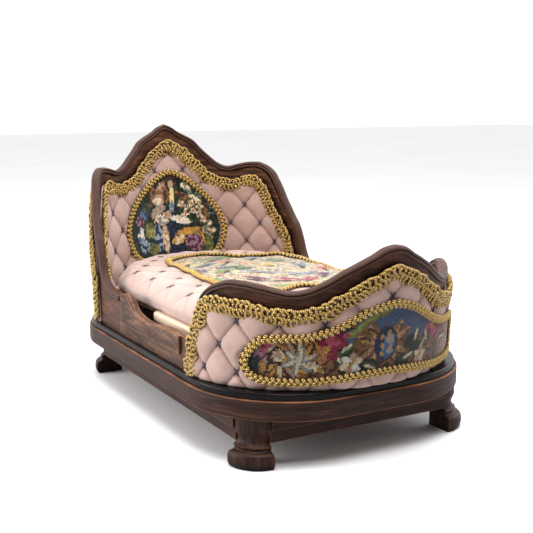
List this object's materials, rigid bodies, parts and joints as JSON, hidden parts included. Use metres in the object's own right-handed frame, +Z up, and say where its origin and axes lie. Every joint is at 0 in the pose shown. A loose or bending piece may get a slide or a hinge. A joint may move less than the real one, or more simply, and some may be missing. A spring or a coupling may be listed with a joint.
{
  "type": "doll's bed",
  "caption": "Upholstered doll's bed with bent, shaped headboard and footboard, a bowed plinth on bracket feet and a lift-out quilted mattress.",
  "frame": {"origin": "under the middle of the plinth, on the surface that the feet stand on", "axes": "+Z up, +Y towards the headboard, +X to the right when seen from the foot"},
  "size_m": [0.25, 0.443, 0.252],
  "materials": {
    "dark_wood": "semi-gloss dark walnut stain with worn arrises",
    "quilted_fabric": "dusty pink woven fabric, quilted",
    "mattress_fabric": "pale pink woven fabric, quilted",
    "board_cloth": "plain tan cloth",
    "gold_braid": "twisted rayon with a satin sheen",
    "needlework": "wool cross stitch",
    "screw_steel": "zinc plated"
  },
  "bodies": {
    "bedstead": {"apron_foot_end": "dark_wood", "apron_head_end": "dark_wood", "apron_left": "dark_wood", "apron_right": "dark_wood", "base_board": "dark_wood", "deck_board": "dark_wood", "foot_end_foot_left": "dark_wood", "foot_end_foot_right": "dark_wood", "foot_screws": "screw_steel", "footboard_cap": "dark_wood", "footboard_inner_gimp": "gold_braid", "footboard_inner_pad": "quilted_fabric", "footboard_outer_gimp": "gold_braid", "footboard_outer_pad": "quilted_fabric", "footboard_panel": "needlework", "footboard_panel_braid": "gold_braid", "footboard_shell": "dark_wood", "head_end_foot_left": "dark_wood", "head_end_foot_right": "dark_wood", "headboard_cap": "dark_wood", "headboard_inner_gimp": "gold_braid", "headboard_inner_pad": "quilted_fabric", "headboard_medallion": "needlework", "headboard_medallion_braid": "gold_braid", "headboard_outer_gimp": "gold_braid", "headboard_outer_pad": "quilted_fabric", "headboard_shell": "dark_wood", "mattress_ledge_left": "dark_wood", "mattress_ledge_right": "dark_wood", "rail_facing_left": "dark_wood", "rail_facing_right": "dark_wood", "side_rail_left": "dark_wood", "side_rail_right": "dark_wood"},
    "mattress": {"mattress_board": "board_cloth", "mattress_pad": "mattress_fabric", "coverlet": "needlework", "coverlet_braid": "gold_braid"}
  },
  "joints": [
    {"name": "mattress_lift", "type": "slide", "parent": "bedstead", "child": "mattress", "axis": [0, 0, 1], "range_m": [0, 0.18]}
  ]
}
